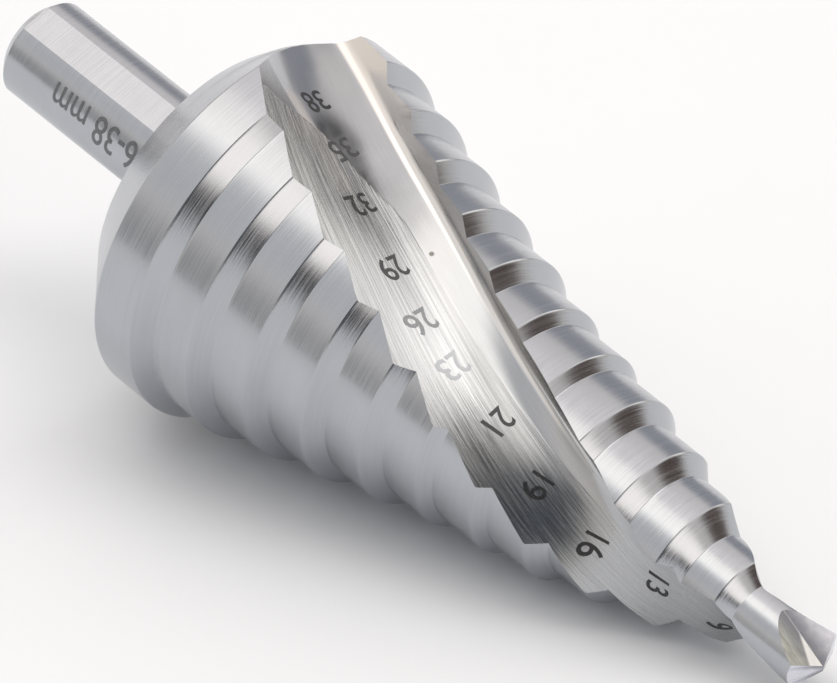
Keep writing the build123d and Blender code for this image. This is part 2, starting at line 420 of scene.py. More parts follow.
        wall = pair(np.cos(rake), np.sin(rake))
        floor = pair(bottom_x - corner_x, bottom - corner_y) / span[:, None]
        half = np.arccos((wall * floor).sum(-1)) / 2
        back = (round_off / np.tan(half))[:, None]
        corner = pair(corner_x, corner_y)
        on_wall, on_floor = corner + wall * back, corner + floor * back
        on_slope = on_floor + floor * 0.35 * (span[:, None] - back)
        inward = (wall + floor) / np.linalg.norm(wall + floor, axis=-1)[:, None]
        centre = corner + inward * (round_off / np.sin(half))[:, None]
        run = np.sqrt((radius + HEEL_REACH) ** 2 - far**2)
        heel = pair(far * np.cos(tilt) - run * np.sin(tilt),
                    far * np.sin(tilt) + run * np.cos(tilt))
        top = pair(radius, 0 * radius) + wall * WALL_REACH
        low, last = pair(bottom_x, bottom), pair(end_x, end)

        def line(a, b, k):
            return a[:, None] + (b - a)[:, None] * k

        f = [np.clip(s - k, 0, 1)[..., None] for k in range(5)]
        angle = (np.pi - 2 * half)[:, None, None]
        swing = np.sin((1 - f[1]) * angle) * (on_wall - centre)[:, None]
        swing = swing + np.sin(f[1] * angle) * (on_floor - centre)[:, None]
        arc = centre[:, None] + swing / np.sin(angle)
        sag = line(on_slope, low, f[3]) * (1 - f[3]) + line(low, last, f[3]) * f[3]
        shapes = [line(top, on_wall, f[0]), arc, line(on_floor, on_slope, f[2]), sag]
        shapes.append(line(last, heel, f[4]))
        place = np.clip(np.floor(s), 0, 4)[..., None]
        return np.select([place == k for k in range(5)], shapes), edge

    def flute_limits(self, t):
        """Where the flute's section enters and leaves the lands, as s."""
        fine = np.linspace(0, 5, 1001)
        points, edge = self.flute_profile(t, np.broadcast_to(fine, (len(t), len(fine))))
        away = np.hypot(points[..., 0], points[..., 1])
        turn = np.degrees(np.arctan2(points[..., 1], points[..., 0]))
        radius, base = (v[:, None] for v in self.land_frame(t))
        ahead = turn + edge[:, None] - base
        limits = []
        for shift, flip in ((0.0, False), (-180.0, True)):
            over = away - self.lobe(radius, ahead + shift)
            inside = over < 0
            k = len(fine) - 1 - np.argmax(inside[:, ::-1], 1) if flip else np.argmax(inside, 1)
            none = ~inside.any(1)
            k = np.where(none, np.argmin(over, 1), k)
            beside = np.clip(k + (1 if flip else -1), 0, len(fine) - 1)
            rows = np.arange(len(t))
            a, b = over[rows, k], over[rows, beside]
            share = np.where(none | (a == b), 0.0, a / np.where(a == b, 1.0, a - b))
            limits.append(fine[k] + (fine[beside] - fine[k]) * share)
        return limits

    def section(self, t, flute_cells, land_cells):
        """Half of the body's section at places t: the flute's points and then
        the land's, up to the next cutting edge, as (n, m, 2)."""
        start, stop = (v[:, None] for v in self.flute_limits(t))
        parts = []
        for k, cells in enumerate(flute_cells):
            low, high = np.clip(start, k, k + 1), np.clip(stop, k, k + 1)
            parts.append(low + (high - low) * np.arange(cells) / cells)
        s = np.clip(np.concatenate(parts + [stop], 1), start, stop)
        points, edge = self.flute_profile(t, s)
        radius, base = (v[:, None] for v in self.land_frame(t))
        turn = np.degrees(np.arctan2(points[..., 1], points[..., 0])) + edge[:, None]
        away = np.hypot(points[..., 0], points[..., 1])
        away = np.minimum(away, self.lobe(radius, turn - base))
        first, last = turn[:, :1] + 180.0, turn[:, -1:]
        sweep = last + (first - last) * np.arange(1, land_cells) / land_cells
        land = self.lobe(radius, sweep - base - 180.0)
        # The land meets the flute's ends exactly.
        k = np.arange(1, land_cells) / land_cells
        at_heel = away[:, -1:] - self.lobe(radius, last - base - 180.0)
        at_edge = away[:, :1] - self.lobe(radius, first - base - 180.0)
        land = land + at_heel * (1 - k) ** 8 + at_edge * k**8
        turn = np.radians(np.concatenate([turn, sweep], 1))
        away = np.concatenate([away, land], 1)
        return np.stack([away * np.cos(turn), away * np.sin(turn)], -1)

    def on_flute(self, t, azimuth):
        """Points of the flute's surface at places and azimuths: the section is
        followed from its corner to the heel and read where it has the azimuth."""
        fine = np.linspace(1.3, 5, 301)
        points, edge = self.flute_profile(t, np.broadcast_to(fine, (len(t), len(fine))))
        turn = np.degrees(np.arctan2(points[..., 1], points[..., 0]))
        wanted = (azimuth - edge + 180) % 360 - 180
        k = np.clip((turn < wanted[:, None]).sum(1) - 1, 0, len(fine) - 2)
        rows = np.arange(len(t))
        share = ((wanted - turn[rows, k]) / (turn[rows, k + 1] - turn[rows, k]))[:, None]
        flat = points[rows, k] * (1 - share) + points[rows, k + 1] * share
        away, here = np.hypot(flat[:, 0], flat[:, 1]), np.radians(wanted + edge)
        return np.stack([away * np.cos(here), away * np.sin(here), self.length - t], -1)


# Meshes

def new_mesh(name, points, faces, kinds=None, smooth=True):
    """Mesh object from an array of corners and an array or list of faces."""
    mesh = bpy.data.meshes.new(name)
    mesh.from_pydata(points.tolist(), [], faces if isinstance(faces, list) else faces.tolist())
    if kinds is not None:
        mesh.polygons.foreach_set("material_index", np.asarray(kinds, np.int32))
    mesh.polygons.foreach_set("use_smooth", np.full(len(mesh.polygons), smooth))
    mesh.update()
    piece = bpy.data.objects.new(name, mesh)
    bpy.context.scene.collection.objects.link(piece)
    return piece


def tube_faces(rows, columns):
    """Quads of a closed tube, rows from the shank side to the point side and
    columns with rising azimuth, and its two end caps."""
    row, j = np.meshgrid(np.arange(rows - 1) * columns, np.arange(columns), indexing="ij")
    k = (j + 1) % columns
    quads = np.stack([row + j, row + k, row + columns + k, row + columns + j], -1)
    back = list(range(columns))[::-1]
    front = list(range((rows - 1) * columns, rows * columns))
    return quads.reshape(-1, 4).tolist() + [back, front]


def merge_doubles(mesh, distance):
    """Joins corners that fall together and drops faces without area."""
    work = bmesh.new()
    work.from_mesh(mesh)
    bmesh.ops.remove_doubles(work, verts=work.verts, dist=distance)
    bmesh.ops.dissolve_degenerate(work, edges=work.edges, dist=distance)
    work.to_mesh(mesh)
    work.free()


def block(shape, corner, first, second):
    """Long block with an edge through a point: it fills the corner between two
    directions, and runs far along the third."""
    first, second = (v / np.linalg.norm(v) for v in (first, second))
    third = np.cross(first, second)
    third /= np.linalg.norm(third)
    i, j, k = (a.reshape(-1, 1) for a in np.meshgrid([0, 1], [0, 1], [-1, 1], indexing="ij"))
    points = corner + CUTTER_REACH * (i * first + j * second + k * third)
    faces = [[0, 1, 3, 2], [4, 6, 7, 5], [0, 4, 5, 1], [2, 3, 7, 6], [0, 2, 6, 4], [1, 5, 7, 3]]
    return new_mesh("point_cutter", shape.world(points), faces, smooth=False)


def polar(radius, azimuth, z=0.0):
    """Point at a radius and an azimuth."""
    a = math.radians(azimuth)
    return np.array([radius * math.cos(a), radius * math.sin(a), z])


def point_cutters(shape):
    """Blocks that cut the end flanks, the gashes and the web thinning: each
    gash is the corner between its rake plane and its back plane."""
    s = shape.s
    tip = np.array([0.0, 0.0, shape.length])
    fall = 1 / math.tan(math.radians(s.point_angle / 2))
    cutters = []
    for turn in (0.0, 180.0):
        lip = s.lip_azimuth + turn
        slope = polar(fall, lip) + polar(s.flank_fall, lip - 90.0) + np.array([0, 0, 1.0])
        slope /= np.linalg.norm(slope)
        level = np.cross(slope, polar(1.0, lip))
        level /= np.linalg.norm(level)
        cutters.append(block(shape, tip - CUTTER_REACH / 2 * level, level, slope))
        rake, back, thinning, away, foot = gash_planes(shape, turn)
        cutters.append(wedge(shape, rake, back, away))
        cutters.append(wedge(shape, rake, thinning, foot))
    return cutters


def gash_planes(shape, turn):
    """Normals of a gash's rake, back and thinning planes, a point of the first
    two and a point of the third."""
    s = shape.s
    fall = 1 / math.tan(math.radians(s.point_angle / 2))
    length_share, width_share, deep = s.thinning
    valley_azimuth = s.gash_azimuth + turn + 180.0
    corner = polar(shape.stub, s.gash_back_azimuth + turn, -s.gash_back_height / MM)
    valley = polar(shape.stub, valley_azimuth, -s.gash_length / MM)
    rake_end = polar(shape.stub, s.lip_azimuth + turn + 180.0, -shape.stub * fall)
    away = polar(s.web / MM / 2, valley_azimuth, shape.length)
    rake = -np.cross(valley, rake_end)
    back = np.cross(valley, corner)
    down = np.array([0, 0, -1.0])
    down = down - rake * (down @ rake) / (rake @ rake)
    down = down / np.linalg.norm(down) * deep
    thinning = np.cross(valley * length_share - down, corner * width_share - down)
    return [v / np.linalg.norm(v) for v in (rake, back, thinning)] + [away, away + down]


def wedge(shape, first, second, through):
    """Block between two planes that meet in a line through a point, on the
    sides that their normals point to."""
    line = np.cross(first, second)
    along_first = np.cross(first, line)
    along_second = np.cross(second, line)
    along_first *= np.sign(along_first @ second)
    along_second *= np.sign(along_second @ first)
    if np.cross(along_first, along_second) @ line < 0:
        along_first, along_second = along_second, along_first
    return block(shape, through, along_first, along_second)


def cut(piece, cutters):
    """Takes the cutters off a piece, one after the other, and removes them.
    The faces that they leave get the piece's last material."""
    for cutter in cutters:
        for material in piece.data.materials:
            cutter.data.materials.append(material)
        ground = np.full(len(cutter.data.polygons), len(piece.data.materials) - 1, np.int32)
        cutter.data.polygons.foreach_set("material_index", ground)
        step = piece.modifiers.new("Cut", "BOOLEAN")
        step.operation = "DIFFERENCE"
        step.solver = "EXACT"
        step.object = cutter
    bpy.context.view_layer.update()
    graph = bpy.context.evaluated_depsgraph_get()
    mesh = bpy.data.meshes.new_from_object(piece.evaluated_get(graph))
    piece.modifiers.clear()
    old, piece.data = piece.data, mesh
    mesh.name = piece.name
    bpy.data.meshes.remove(old)
    for cutter in cutters:
        data = cutter.data
        bpy.data.objects.remove(cutter)
        bpy.data.meshes.remove(data)


# Where the coarse grinding begins: place behind the point, and distance across
# the flute from the cutting edge.
GROUND_FROM = (
    (0.0, 0.1), (9.9, 0.3), (15.6, 0.7), (21.3, 1.3), (27.0, 1.9), (38.4, 2.3), (49.8, 2.7),
    (54.0, 2.8), (56.0, 3.1), (57.8, 3.7), (60.4, 4.45), (62.9, 5.0), (65.1, 6.25),
    (66.4, 7.6), (67.4, 9.2), (68.4, 11.0), (69.6, 12.4), (70.5, 20.0), (80.0, 40.0),
)


def vertex_array(mesh):
    """Corners of a mesh as an array."""
    points = np.zeros(len(mesh.vertices) * 3)
    mesh.vertices.foreach_get("co", points)
    return points.reshape(-1, 3)


def store_lay(shape, mesh):
    """Keeps for each corner its distance across the flute from the line of the
    cutting edge, its place behind the point, and how far it is past the line
    where the coarse grinding begins."""
    p = shape.drill(vertex_array(mesh))
    t = shape.length - p[:, 2]
    edge = shape.flute_values(t)[1]
    turn = np.arctan2(p[:, 1], p[:, 0]) - np.radians(edge)
    across = np.hypot(p[:, 0], p[:, 1]) * np.abs(np.sin(turn))
    past = across - np.interp(t, *np.array(GROUND_FROM).T)
    lay = mesh.attributes.new("lay", "FLOAT_VECTOR", "POINT")
    lay.data.foreach_set("vector", np.stack([across, t, past], -1).astype(np.float32).ravel())


# Materials

class Value:
    """A shader socket that Python arithmetic can be done with."""

    def __init__(self, graph, socket):
        self.graph, self.socket = graph, socket

    def math(self, operation, *others):
        values = dict(enumerate((self, *others)))
        return self.graph.node("ShaderNodeMath", {"operation": operation}, values)

    def reflected(self, operation, other):
        return self.graph.node("ShaderNodeMath", {"operation": operation}, {0: other, 1: self})

    def __add__(self, other):
        return self.math("ADD", other)

    __radd__ = __add__

    def __mul__(self, other):
        return self.math("MULTIPLY", other)

    __rmul__ = __mul__

    def __sub__(self, other):
        return self.math("SUBTRACT", other)

    def __rsub__(self, other):
        return self.reflected("SUBTRACT", other)


class Graph:
    """A node tree, filled by one method."""

    def __init__(self, tree):
        self.tree = tree
        tree.nodes.clear()

    def node(self, kind, settings=None, inputs=None, output=0):
        made = self.tree.nodes.new(kind)
        for name, value in (settings or {}).items():
            setattr(made, name, value)
        for name, value in (inputs or {}).items():
            socket = made.inputs[name]
            if isinstance(value, Value):
                self.tree.links.new(value.socket, socket)
            else:
                socket.default_value = value
        return Value(self, made.outputs[output]) if made.outputs else made

    def vector(self, operation, *values, output=0):
        """Vector arithmetic; output 1 is a number, such as a dot product's."""
        inputs = dict(enumerate(values))
        return self.node("ShaderNodeVectorMath", {"operation": operation}, inputs, output)

    def mix(self, share, first, second):
        """Colour between two colours."""
        settings = {"data_type": "RGBA", "clamp_factor": True}
        return self.node("ShaderNodeMix", settings, {0: share, 6: first, 7: second}, 2)

    def noise(self, vector, scale, detail=2.0, rough=0.5):
        inputs = {"Vector": vector, "Scale": scale, "Detail": detail, "Roughness": rough}
        return self.node("ShaderNodeTexNoise", {"noise_dimensions": "3D"}, inputs)

    def ramp(self, value, low, high, start=0.0, end=1.0):
        """Soft step from start to end as the value goes from low to high."""
        inputs = {"Value": value, "From Min": low, "From Max": high, "To Min": start, "To Max": end}
        return self.node("ShaderNodeMapRange", {"interpolation_type": "SMOOTHSTEP"}, inputs)

    def spread(self, noise, start, end):
        """A noise's usual range, carried over to the range from start to end."""
        return self.ramp(noise, 0.3, 0.7, start, end)


def tinted(values, share=1.0):
    """Colour with all its parts taken by a share, and full alpha."""
    return (*(share * c for c in values), 1.0)


def drill_coordinates(graph, shape):
    """Object coordinates turned to the drill's axes, in mm: x, y, and the
    height over the shank end."""
    place = graph.node("ShaderNodeTexCoord", output="Object")
    centred = graph.vector("SUBTRACT", place, tuple(shape.foot * MM))
    return [graph.vector("DOT_PRODUCT", centred, tuple(axis / MM), output=1)
            for axis in shape.axes]


def joined(graph, x, y, z):
    return graph.node("ShaderNodeCombineXYZ", inputs={0: x, 1: y, 2: z})


def steel_material(name, build):
    """Metal whose colour, roughness, height, and the height's strength and
    reach come from a function."""
    material = bpy.data.materials.new(name)
    material.use_nodes = True
    graph = Graph(material.node_tree)
    base, rough, height, strength, reach = build(graph)
    bump_inputs = {"Strength": strength, "Distance": reach, "Height": height}
    normal = graph.node("ShaderNodeBump", inputs=bump_inputs)
    inputs = {"Base Color": base, "Roughness": rough, "Normal": normal, "Metallic": 1.0}
    shader = graph.node("ShaderNodeBsdfPrincipled", inputs=inputs)
    graph.node("ShaderNodeOutputMaterial", inputs={"Surface": shader})
    return material


def turned_steel(shape, finish):
    """Lands, cones and shank: rings of fine grinding round the axis, which are
    noise drawn out across it, and a faint cloud."""
    def build(graph):
        x, y, z = drill_coordinates(graph, shape)
        rings = graph.noise(joined(graph, x * 0.05, y * 0.05, z * 7.0), 1.0, 3.0, 0.6)
        fine = graph.noise(joined(graph, x * 0.2, y * 0.2, z * 24.0), 1.0, 1.0)
        cloud = graph.noise(joined(graph, x, y, z), 0.22, 3.0)
        tone = graph.ramp(rings + cloud * 0.5, 0.45, 1.05, -0.05, 0.05) + 1.0
        scaled = {0: tuple(finish.steel), "Scale": tone}
        base = graph.node("ShaderNodeVectorMath", {"operation": "SCALE"}, scaled)
        land = finish.land_roughness
        rough = graph.spread(rings, land - 0.03, land + 0.05)
        return base, rough, rings + fine * 0.4, 0.6, 0.00002
    return steel_material("turned_steel", build)


# The small pit in the channel: its middle in the part's frame in metres, where
# its dark tone starts to fade and where it ends in mm, and the tone.
PIT_MIDDLE = (0.002424, 0.000051, 0.024539)
PIT_EDGE = (0.16, 0.30)
PIT_TONE = (0.09, 0.08, 0.07)

# Share of the facet's own colour in its raised and in its dark lines, of the
# channel's colour in its faint lines, and the tone of the painted shade beside
# the ridge, a dark reflection painted into the channel.
FACET_LIGHT, FACET_DARK, CHANNEL_DARK = 1.06, 0.64, 0.94
RIDGE_SHADE_TONE = (0.16, 0.16, 0.165)


def flute_steel(shape, finish):
    """Polished channel with faint lines along the flute, a pale cutting wall that is
    partly painted light, a painted shade beside the ridge, and past the ridge the
    coarsely ground facet, whose lines run the same way. The lines are noise drawn
    out along the flute."""
    def build(graph):
        lay = graph.node("ShaderNodeAttribute", {"attribute_name": "lay"}, output="Vector")
        across = graph.node("ShaderNodeSeparateXYZ", inputs={0: lay})
        along, past = (Value(graph, across.socket.node.outputs[k]) for k in (1, 2))
        faint = graph.noise(joined(graph, across * 7.0, along * 0.22, 0.0), 1.0, 3.0, 0.55)
        cloud = graph.noise(joined(graph, across, along, 3.0), 0.3, 3.0)
        coarse = graph.noise(joined(graph, across * 4.6, along * 0.04, 0.0), 1.0, 2.0, 0.6)
        fine = graph.noise(joined(graph, across * 11.0, along * 0.22, 7.0), 1.0, 2.0, 0.6)
        lines = coarse + fine * 0.6
        ground = graph.ramp(past + (coarse - 0.5) * 0.5, -0.1, 0.12)

        # The channel, its pale wall (partly painted light), and a painted shade beside the ridge.
        smooth = graph.mix(graph.ramp(faint + cloud, 0.7, 1.3),
                           tinted(finish.channel, CHANNEL_DARK), tinted(finish.channel))
        # The pale wall: its own tan colour, partly painted light.
        wall = (1 - graph.ramp(across, 0.3, 0.55)) * graph.ramp(along, 20.0, 40.0)
        smooth = graph.mix(wall, smooth, tinted(finish.wall))
        # Painted shade: a dark reflection along the ridge, painted into the channel's colour.
        ridge_shade = graph.ramp(past, -2.4, -0.4) * graph.ramp(along, 49.0, 56.0)
        ridge_shade = ridge_shade * (1 - graph.ramp(along, 63.0, 69.0))
        smooth = graph.mix(ridge_shade * 0.3, smooth, tinted(RIDGE_SHADE_TONE))

        # The facet, whose lines are deeper towards the shank.
        deep = graph.ramp(along, 14.0, 27.0) * 0.55 + graph.ramp(along, 42.0, 56.0) * 0.6
        dark_lines = (1 - graph.ramp(lines, 0.6, 1.0)) * (deep * 0.8 + 0.2)
        rough = graph.mix(dark_lines, tinted(finish.facet, FACET_LIGHT),
                          tinted(finish.facet, FACET_DARK))
        base = graph.mix(ground, smooth, rough)

        place = graph.node("ShaderNodeTexCoord", output="Object")
        off_pit = graph.vector("DISTANCE", place, PIT_MIDDLE, output=1) * (1 / MM)
        base = graph.mix((1 - graph.ramp(off_pit, *PIT_EDGE)) * 0.8, base, tinted(PIT_TONE))
        channel, facet = finish.channel_roughness, finish.facet_roughness
        polish = graph.spread(cloud, channel - 0.03, channel + 0.05)
        scratch = graph.spread(fine, facet - 0.05, facet + 0.08)
        roughness = polish + (scratch - polish) * ground
        hairs = faint * 0.12
        height = hairs + (lines * (deep * 0.75 + 0.25) - hairs) * ground
        return base, roughness, height, 1.0, 0.00003
    return steel_material("flute_steel", build)


# Tones of the split point's faces: the rake faces and the back faces from dark
# to light, with the rake faces painted lighter than the steel as painted light,
# the web thinning, painted bright as a highlight, and the painted shade in the
# valley of the gash.
RAKE_PAINTED_LIGHT_TONES = ((0.66, 0.665, 0.73), (0.73, 0.73, 0.78))
BACK_TONES = ((0.24, 0.24, 0.22), (0.36, 0.36, 0.33))
THINNING_HIGHLIGHT_TONE = (0.60, 0.595, 0.585)
VALLEY_SHADE_TONE = (0.14, 0.145, 0.17)

# A place within the first distance of a face's plane is on it, and past the
# second it isn't; the valley's shade ends at the third; in mm.
ON_PLANE, OFF_PLANE, VALLEY_REACH = 0.003, 0.01, 0.6


def point_steel(shape, finish):
    """Ground faces of the split point: cool rake faces, painted lighter than the
    steel, with a painted shade towards the valley of the gash, matt back faces
    with fine lines along the valley, and the web thinning, painted bright as a
    highlight. A face is told by its distance from its plane."""
    def build(graph):
        place = joined(graph, *drill_coordinates(graph, shape))
        valley, backs, thinned = [], [], []
        for turn in (0.0, 180.0):
            rake, back, thinning, away, foot = gash_planes(shape, turn)
            off = []
            for normal, through in ((rake, away), (back, away), (thinning, foot)):
                along = graph.vector("DOT_PRODUCT", place, tuple(normal), output=1)
                off.append((along - float(normal @ through)).math("ABSOLUTE"))
            valley.append(off[0].math("MAXIMUM", off[1]))
            backs.append(off[1])
            thinned.append(off[2])

        def within(pair, full, end):
            return 1 - graph.ramp(pair[0].math("MINIMUM", pair[1]), full, end)

        # Painted shade towards the valley of the gash.
        shade = within(valley, 0.0, VALLEY_REACH)
        on_back = within(backs, ON_PLANE, OFF_PLANE)
        on_thinning = within(thinned, ON_PLANE, OFF_PLANE)
        rake, back = gash_planes(shape, 0.0)[:2]
        line = np.cross(rake, back)
        line /= np.linalg.norm(line)
        side = np.cross(line, back)
        u, v = (graph.vector("DOT_PRODUCT", place, tuple(d), output=1) for d in (side, line))
        lines = graph.noise(joined(graph, u * 7.0, v * 0.5, 0.0), 1.0, 3.0, 0.6)
        cloud = graph.noise(place, 1.2, 3.0)
        # Rake faces painted lighter than the steel: painted light.
        rake_painted_light = graph.mix(graph.spread(cloud, 0.0, 1.0), *(tinted(c) for c in RAKE_PAINTED_LIGHT_TONES))
        lined = graph.ramp(lines, 0.35, 0.65)
        base = graph.mix(on_back, rake_painted_light, graph.mix(lined, *(tinted(c) for c in BACK_TONES)))
        base = graph.mix(shade * 0.8, base, tinted(VALLEY_SHADE_TONE))
        # Web thinning painted bright: a painted highlight.
        base = graph.mix(on_thinning, base, tinted(THINNING_HIGHLIGHT_TONE))
        rough = graph.spread(cloud, 0.22, 0.30)
        return base, rough, lines * on_back + cloud * 0.1, 0.5, 0.00002
    return steel_material("point_steel", build)


def mark_material(finish, wear_and_sheen):
    """Dark laser mark, a little uneven, and paler and shinier where it is worn; where the paling
    stands in for a highlight that falls on the mark, it is a painted highlight.
    """
    material = bpy.data.materials.new("laser_mark")
    material.use_nodes = True
    graph = Graph(material.node_tree)
    place = graph.node("ShaderNodeTexCoord", output="Object")
    speckle = graph.noise(place, 6000.0, 2.0)
    # The mark pales towards the steel where it is worn, and on some numbers as a painted highlight.
    deep = [m + (s - m) * 0.75 * wear_and_sheen for m, s in zip(finish.mark, finish.steel)]
    pale = [1.25 * c + 0.02 for c in deep]
    base = graph.mix(graph.ramp(speckle, 0.35, 0.75), tinted(deep), tinted(pale))
    rough = graph.spread(speckle, 0.34, 0.5)
    inputs = {"Base Color": base, "Roughness": rough, "Metallic": 0.3 + 0.7 * wear_and_sheen}
    shader = graph.node("ShaderNodeBsdfPrincipled", inputs=inputs)
    graph.node("ShaderNodeOutputMaterial", inputs={"Surface": shader})
    return material


# Operators

# Corners sharper than these, in degrees, stay crisp on the body and the shank.
BODY_CREASE, SHANK_CREASE = 24.0, 14.0


def body_rows(shape):
    """Places of the body's rows, from its back to ahead of the point: even
    steps, and exact places at rims and roots, which even ones keep clear of."""
    worn, hollow = shape.s.rim_rounding / MM, shape.s.root_rounding / MM
    rims = np.append(shape.rims, shape.back_rim)
    exact = [[AHEAD, shape.body_back, shape.body_back - worn]]
    exact += [shape.roots + k * hollow for k in HOLLOW_ROWS]
    exact += [rims + k * worn for k in RIM_ROWS]
    exact = np.round(np.concatenate(exact), 4)
    even = np.round(np.linspace(AHEAD, shape.body_back, BODY_ROWS), 4)
    t = np.unique(np.concatenate([even, exact]))[::-1]
    near = np.abs(t[:, None] - np.unique(exact)).min(1)
    return t[(near == 0) | (near >= ROW_GAP)]


class DRILL_OT_body(bpy.types.Operator):
    """Builds the stepped body with its flutes and the split point"""
    bl_idname = "drill.body"
    bl_label = "Fluted body"

    def execute(self, context):
        shape = DrillShape(context.scene)
        finish = context.scene.drill_finish
        t = body_rows(shape)
        half = shape.section(t, FLUTE_CELLS, LAND_CELLS)
        ring = np.concatenate([half, -half], 1)
        z = np.broadcast_to((shape.length - t)[:, None, None], (*ring.shape[:2], 1))
        points = np.concatenate([ring, z], -1).reshape(-1, 3)
        kinds = np.zeros(half.shape[1], int)
        kinds[:sum(FLUTE_CELLS)] = 1
        kinds = np.append(np.tile(kinds, 2 * (len(t) - 1)), [0, 0])
        faces = tube_faces(*ring.shape[:2])
        piece = new_mesh("fluted_body", shape.world(points), faces, kinds)
        body = piece.data
        body.materials.append(turned_steel(shape, finish))
        body.materials.append(flute_steel(shape, finish))
        body.materials.append(point_steel(shape, finish))
        merge_doubles(body, MERGE)
        cut(piece, point_cutters(shape))
        body = piece.data
        merge_doubles(body, MERGE)
        if len(body.polygons) < len(t):
            raise RuntimeError("the body lost its faces when the point was cut")
        body.set_sharp_from_angle(angle=math.radians(BODY_CREASE))
        kinds = np.zeros(len(body.polygons), np.int32)
        body.polygons.foreach_get("material_index", kinds)
        # The ground faces of the point are flat.
        body.polygons.foreach_set("use_smooth", kinds != len(body.materials) - 1)
        store_lay(shape, body)
        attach(piece, "root")
        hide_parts("step_drill")
        return {"FINISHED"}


class DRILL_OT_shank(bpy.types.Operator):
    """Builds the round shank with its flats and its chamfered end"""
    bl_idname = "drill.shank"
    bl_label = "Shank"

    def execute(self, context):
        shape = DrillShape(context.scene)
        s = shape.s
        radius, chamfer = s.shank_diameter / MM / 2, s.shank_chamfer / MM
        flat = radius - s.flat_depth / MM
        reach = math.degrees(math.acos(flat / radius))
        apart = 360.0 / s.flat_count
        turns = []
        for i in range(s.flat_count):
            middle = s.flat_azimuth + apart * i
            turns.append(np.linspace(middle - reach, middle + reach, 9)[:-1])
            turns.append(np.linspace(middle + reach, middle + apart - reach, 25)[:-1])
        azimuth = np.concatenate(turns)
        # The flats are the nearest of the planes that stand round the axis.
        offset = (azimuth - s.flat_azimuth + apart / 2) % apart - apart / 2
        limit = flat / np.cos(np.radians(offset))
        worn, narrow = END_ROUNDING, radius - chamfer
        z = [0.0, worn, chamfer - worn, chamfer + worn, 2 * chamfer]
        r = [narrow, narrow + worn, radius - worn, radius, radius]
        back = shape.length - shape.body_back
        plain = np.linspace(SHANK_PLAIN, back + SHANK_SUNK, 24)
        z, r = np.append(z, plain)[:, None], np.append(r, 0 * plain + radius)[:, None]
        away = np.minimum(r, limit)
        a = np.radians(azimuth)
        places = [away * np.cos(a), away * np.sin(a), np.broadcast_to(z, away.shape)]
        points = np.stack(places, -1).reshape(-1, 3)
        piece = new_mesh("shank", shape.world(points), tube_faces(*away.shape))
        piece.data.set_sharp_from_angle(angle=math.radians(SHANK_CREASE))
        material = bpy.data.materials.get("turned_steel")
        if material is None:
            raise RuntimeError("the shank takes its steel from the body, so the body comes first")
        piece.data.materials.append(material)
        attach(piece, "root")
        return {"FINISHED"}


# Middle of each step number: place behind the point, azimuth, and how far the
# mark is worn and paled; on 23 and 26 the paling is a painted highlight. Then
# the same for the marking on the shank.
NUMBERS = (
    (10.2, 90.0, 0.0), (16.0, 49.6, 0.0), (22.5, 44.2, 0.0), (29.1, 24.1, 0.0), (35.2, 6.5, 0.1),
    (41.3, -3.7, 1.0), (45.9, -10.7, 0.6), (51.2, -21.3, 0.1), (57.7, -33.1, 0.0),
    (63.2, -46.2, 0.1), (68.5, -51.9, 0.0),
)
SHANK_MARKING = (87.4, 31.0, 0.4)

# Thickness of the marks and how much their strokes are widened, in mm, and the
# width of the numbers and of the shank's marking against the plain font's.
MARK_THICKNESS, MARK_BOLD = 0.012, 0.03
NUMBER_WIDTH, MARKING_WIDTH = 0.88, 0.74

# Height of a capital against the size of the font.
CAPITAL = 0.70


def glyph_mesh(words, height):
    """Corners and faces of a line of plain text about its middle, in mm."""
    curve = bpy.data.curves.new("words", "FONT")
    curve.body = words
    curve.size = height / CAPITAL
    curve.align_x, curve.align_y = "CENTER", "CENTER"
    curve.extrude = MARK_THICKNESS / 2
    curve.offset = MARK_BOLD
    curve.resolution_u = 6
    writer = bpy.data.objects.new("words", curve)
    bpy.context.scene.collection.objects.link(writer)
    bpy.context.view_layer.update()
    graph = bpy.context.evaluated_depsgraph_get()
    mesh = bpy.data.meshes.new_from_object(writer.evaluated_get(graph))
    bpy.data.objects.remove(writer)
    bpy.data.curves.remove(curve)
    work = bmesh.new()
    work.from_mesh(mesh)
    bmesh.ops.remove_doubles(work, verts=work.verts, dist=1e-5)
    # Long edges are divided, so that the text can follow a curved surface.
    long_edges = [e for e in work.edges if e.calc_length() > height / 8]
    bmesh.ops.subdivide_edges(work, edges=long_edges, cuts=4)
    bmesh.ops.triangulate(work, faces=work.faces)
    work.to_mesh(mesh)
    work.free()
    points = vertex_array(mesh)
    faces = [tuple(face.vertices) for face in mesh.polygons]
    bpy.data.meshes.remove(mesh)
    return points, faces


